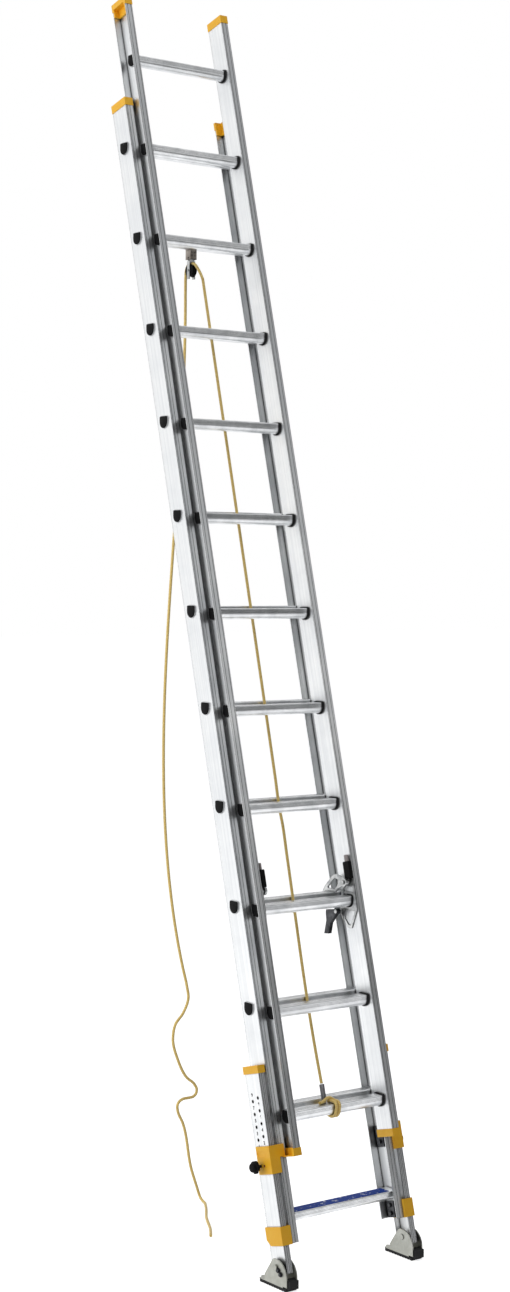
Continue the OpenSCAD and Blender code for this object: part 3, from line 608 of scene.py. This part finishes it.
def hole_shade_cup_shape():
    """Black cup behind a leg's hole, a dark thing standing in for the shade inside the leg: a short tube
    with a floor, its mouth 2.4 mm behind the leg's face.
    """
    hole_shade_cup = cylinder(6.4 * MM, -10.4 * MM, -2.4 * MM, 20)
    choose(hole_shade_cup, "faces", lambda face: face.normal.z > 0.9)
    bpy.ops.mesh.inset(thickness=1.2 * MM, depth=0)
    extrude(z=-7.6 * MM)
    clean_shell()
    return hole_shade_cup


RUNG_R, TREAD_H, CAP_WALL, CAP_DEEP = 18 * MM, 15 * MM, 1.6 * MM, 4.7 * MM


def rung_cap_shape():
    """Cap over a rung's end: a D with its flat side up, hollow towards the rung."""
    cap_r, cap_top = RUNG_R + CAP_WALL, TREAD_H + CAP_WALL
    # a block from 1 mm below the rung's middle to the flat top, then the D's round half in steps
    cap = block((2 * cap_r, cap_top + MM, CAP_DEEP), (0, (cap_top - MM) / 2, CAP_DEEP / 2))
    choose(cap, "faces", lambda face: face.normal.y < -0.9)
    swing = [math.radians(a) for a in (0, 18, 36, 54, 72, 86)]
    for before, after in zip(swing, swing[1:]):
        extrude(y=-cap_r * (math.sin(after) - math.sin(before)))
        bpy.ops.transform.resize(value=(math.cos(after) / math.cos(before), 1, 1), center_override=(0, 0, 0))
    round_upright_edges(cap, 4 * MM, above=10 * MM)
    choose(cap, "faces", lambda face: face.normal.z > 0.9)
    bpy.ops.mesh.inset(thickness=0.9 * MM, depth=0.5 * MM)
    choose(cap, "faces", lambda face: face.normal.z < -0.9)
    bpy.ops.mesh.dissolve_faces()
    bpy.ops.mesh.inset(thickness=CAP_WALL - 0.1 * MM, depth=0)
    extrude(z=3.2 * MM)
    clean_shell()
    return cap


def lock_cover_shape():
    """Cover of a rung lock: a block with rounded edges and a sunken middle."""
    cover = block((26 * MM, 54 * MM, 12.4 * MM))
    round_upright_edges(cover, 4 * MM)
    choose(cover, "faces", lambda face: face.normal.z > 0.9)
    bpy.ops.mesh.inset(thickness=2.5 * MM, depth=-1 * MM)
    clean_shell()
    return cover


def lock_tab_shape():
    """Tab on a lock cover's top, with its two upper corners rounded."""
    tab = block((14 * MM, 21 * MM, 5 * MM))
    round_upright_edges(tab, 3 * MM, above=0)
    clean_shell()
    return tab


WIRE_R = 0.9  # of the lock springs, in millimetres


def spring_shape():
    """Torsion spring of a rung lock: wire wound 4.6 times round a pin, a ring carried up a screw."""
    bpy.ops.object.select_all(action="DESELECT")
    bpy.ops.mesh.primitive_circle_add(vertices=8, radius=WIRE_R * MM, location=(0, 8 * MM, 0),
                                      rotation=(0, math.radians(90), 0))
    spring = bpy.context.object
    bpy.ops.object.transform_apply(location=True, rotation=True, scale=True)
    screw = spring.modifiers.new("turns", "SCREW")
    screw.axis, screw.angle, screw.screw_offset = "Z", math.radians(360 * 4.6), 9 * MM
    screw.steps = screw.render_steps = 84
    bpy.ops.object.modifier_apply(modifier="turns")
    bpy.ops.object.mode_set(mode="EDIT")
    bpy.ops.mesh.select_all(action="SELECT")
    bpy.ops.mesh.fill_holes(sides=0)
    clean_shell()
    return spring


shapes = {
    "knob": knob_shape(),
    "rivet": turned([(-0.4, 3.6), (0.7, 3.6), (1.4, 2.8), (1.7, 1.4)]),
    "pin_head": turned([(-0.5, 6.4), (1.6, 6.4), (2.8, 5.2), (3.2, 3)]),
    "bolt_head": turned([(0.9, 5.6), (4.2, 5.6), (4.9, 4.9)], corners=6),
    "washer": turned([(-0.3, 7.2), (0.8, 7.2), (1.1, 6.9)]),
    # black cups that darken the legs' holes, as painted shade
    "hole_shade_cup": hole_shade_cup_shape(),
    "rung_cap": rung_cap_shape(),
    "lock_cover": lock_cover_shape(),
    "lock_tab": lock_tab_shape(),
    "spring": spring_shape(),
    "spring_arm": turned([(0, WIRE_R), (44, WIRE_R), (45, 0.5)], corners=8),
}


def copy_of(shape):
    """A copy of a shape, with its own mesh."""
    twin = shapes[shape].copy()
    twin.data = shapes[shape].data.copy()
    bpy.context.scene.collection.objects.link(twin)
    return twin


def put(thing, spot, turn):
    """Turns the thing, puts its origin on the spot, and sets both in its mesh."""
    thing.rotation_euler = turn
    thing.location = spot
    bpy.ops.object.select_all(action="DESELECT")
    thing.select_set(True)
    bpy.context.view_layer.objects.active = thing
    bpy.ops.object.transform_apply(location=True, rotation=True, scale=True)
    return thing


def stand(shape, spot, way):
    """A copy of a shape with its origin on the spot and its Z facing the way given."""
    return put(copy_of(shape), spot, Vector(way).to_track_quat("Z", "Y").to_euler())


def lay_along_rail(thing, spot, out):
    """Puts the thing's origin on the spot, with its Z facing out and its Y up the rail."""
    return put(thing, spot, Matrix((RAIL_AXIS.cross(out), RAIL_AXIS, out)).transposed().to_euler())


def one_piece(name, things, slot, body, coat=None):
    """Joins things into one named piece that wears the slot's finish, or another, and rides on body."""
    bpy.ops.object.select_all(action="DESELECT")
    for thing in things:
        thing.select_set(True)
    bpy.context.view_layer.objects.active = things[0]
    if len(things) > 1:
        bpy.ops.object.join()
    piece = bpy.context.view_layer.objects.active
    piece.name = piece.data.name = name
    piece.data.materials.clear()
    piece.data.materials.append(finishes[coat or slot])
    bpy.ops.object.shade_smooth_by_angle(angle=math.radians(32))
    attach(piece, body)
    return piece


WEB = 2.2 * MM  # thickness of a rail's web


def rung_end_caps():
    """Caps on the base rungs' outer ends, over the rails' webs, and on the fly rungs' in their channels."""
    base_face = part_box("base_rail_right")[1][0]
    fly_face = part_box("fly_rail_right")[0][0] + WEB
    rows = (("rung_end_caps_base", "base_section", base_face, PITCH, 0, 11),
            ("rung_end_caps_fly_", "fly_section", fly_face, FLY_UP, FLY_OUT, 12))
    for name, body, face, first, out_by, count in rows:
        reach = face + 0.05 * MM  # just clear of the web
        caps = [stand("rung_cap", at(side * reach, first + k * PITCH, out_by), (side, 0, 0))
                for k in range(count) for side in (-1, 1)]
        one_piece(name, caps, "black_plastic", body)


SLEEVE_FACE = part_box("leveler_brackets")[1][0]
PIN_UP, PIN_OUT = 151.9 * MM, -6 * MM  # the knobs' pins, up the rails and out
LEG_FACE = 250 * MM  # the legs' outer faces stand this far from the middle
HOLE_STEP, HOLE_ROWS = 37.4 * MM, 6
COLUMN_GAP = 27 * MM  # from a leg's rear column of holes, which the knob's pin enters, to its front one
NUMBER_UP = 208 * MM  # the lowest number of the rear column; the front one's is NUMBER_RISE higher
NUMBER_RISE = 9.4 * MM


def knob_grip(name, side, out):
    """A knob with its pin, in place of the plain one."""
    knob = stand("knob", at(side * SLEEVE_FACE, PIN_UP, PIN_OUT), out)
    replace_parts(one_piece("knob_grip_" + name, [knob], "black_plastic", "plunger_" + name), "knob_" + name)


def bracket_rivet(name, side, out):
    """The rivet in a bracket's face, 18 mm in front of the knob."""
    rivet = stand("rivet", at(side * SLEEVE_FACE, PIN_UP, PIN_OUT + 18 * MM), out)
    one_piece("bracket_rivet_" + name, [rivet], "zinc_steel", "base_section", "primed")


def number_on_leg(text, spot, out):
    """A number as flat print, a little proud of the leg's outer face."""
    bpy.ops.object.select_all(action="DESELECT")
    bpy.ops.object.text_add()
    label = bpy.context.object
    label.data.body, label.data.size, label.data.extrude = text, 13.5 * MM, 0.12 * MM
    label.data.offset = 0.6 * MM
    label.data.align_x, label.data.align_y = "CENTER", "CENTER"
    bpy.ops.object.convert(target="MESH")
    bpy.ops.object.mode_set(mode="EDIT")
    clean_shell()
    return lay_along_rail(bpy.context.object, spot, out)


def leg_numbers(name, side, out):
    """Odd numbers between the rear column's holes, even ones between the front column's."""
    marks = []
    for column, count in ((0, 5), (1, 4)):
        for k in range(count):
            up = NUMBER_UP + NUMBER_RISE * column + k * HOLE_STEP
            spot = at(side * LEG_FACE, up, PIN_OUT + COLUMN_GAP * column)
            marks.append(number_on_leg(str(2 * k + 1 + column), spot, out))
    one_piece("leg_numbers_" + name, marks, "black_plastic", "leg_" + name)


def leg_hole_shade_cups(name, side, out):
    """A black cup behind each hole, as painted shade inside the leg; the front column stands a quarter of a
    step higher.
    """
    hole_shade_cups = [stand("hole_shade_cup", at(side * LEG_FACE, PIN_UP + (k + 0.25 * column) * HOLE_STEP,
                               PIN_OUT + COLUMN_GAP * column), out)
              for column in (0, 1) for k in range(HOLE_ROWS)]
    one_piece("leg_hole_shade_cups_" + name, hole_shade_cups, "black_plastic", "leg_" + name)


# the rung locks' pins, from the middle of the base section's fourth rung: across, back and up
LOCK = at(0, 3 * PITCH, 0)
HOOK_PIN = LOCK + Vector((0, -62, 50)) * MM
FINGER_PIN = LOCK + Vector((0, -30, -44)) * MM


def beside(pin, across, back=0, up=0):
    """A spot this far from a pin's middle, in millimetres."""
    return pin + Vector((across, back, up)) * MM


def lock_pin_heads(name, side, out):
    """The heads of the hook's and the finger's pins, on the inner side of the lock's frame."""
    heads = [stand("pin_head", beside(pin, side * 150), -out) for pin in (HOOK_PIN, FINGER_PIN)]
    one_piece("lock_pin_heads_" + name, heads, "zinc_steel", "fly_section")


def lock_springs(name, side, out):
    """A torsion spring round the hook's pin, and the springs' straight ends, which hang down and forward."""
    wires = [stand("spring", beside(HOOK_PIN, side * 160.5), out),
             stand("spring_arm", beside(HOOK_PIN, side * 161, 8), (0, -0.35, -1)),
             stand("spring_arm", beside(FINGER_PIN, side * 165, -6, 2), (0, -0.45, -1))]
    one_piece("lock_springs_" + name, wires, "zinc_steel", "fly_section")


def lock_cover(name, side, out):
    """The cover and the tab on its top, standing along the rail."""
    cover_x, tab_x, cover_out = 167.8 * MM, 168.5 * MM, 86 * MM
    cover_up, tab_up = 3 * PITCH + 68 * MM, 3 * PITCH + 105 * MM
    cover = lay_along_rail(copy_of("lock_cover"), at(side * cover_x, cover_up, cover_out), out)
    tab = lay_along_rail(copy_of("lock_tab"), at(side * tab_x, tab_up, cover_out), out)
    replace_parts(one_piece("lock_cover_" + name, [cover], "black_plastic", "fly_section"), "lock_covers")
    one_piece("lock_tab_" + name, [tab], "zinc_steel", "fly_section", "tab")


def shoe_bolts(name, side, out):
    """Two bolts with washers on a shoe's outer cheek."""
    cheek = 264
    heads = [stand(shape, Vector((side * cheek, back, up)) * MM, out)
             for back, up in ((-12, 55), (-23, 46)) for shape in ("washer", "bolt_head")]
    one_piece("shoe_bolts_" + name, heads, "black_steel", "foot_" + name)


rung_end_caps()
for name, side in (("left", -1), ("right", 1)):
    for make in (knob_grip, bracket_rivet, leg_numbers, leg_hole_shade_cups, lock_pin_heads, lock_springs,
                 lock_cover, shoe_bolts):
        make(name, side, Vector((side, 0, 0)))
for shape in shapes.values():
    bpy.data.objects.remove(shape)
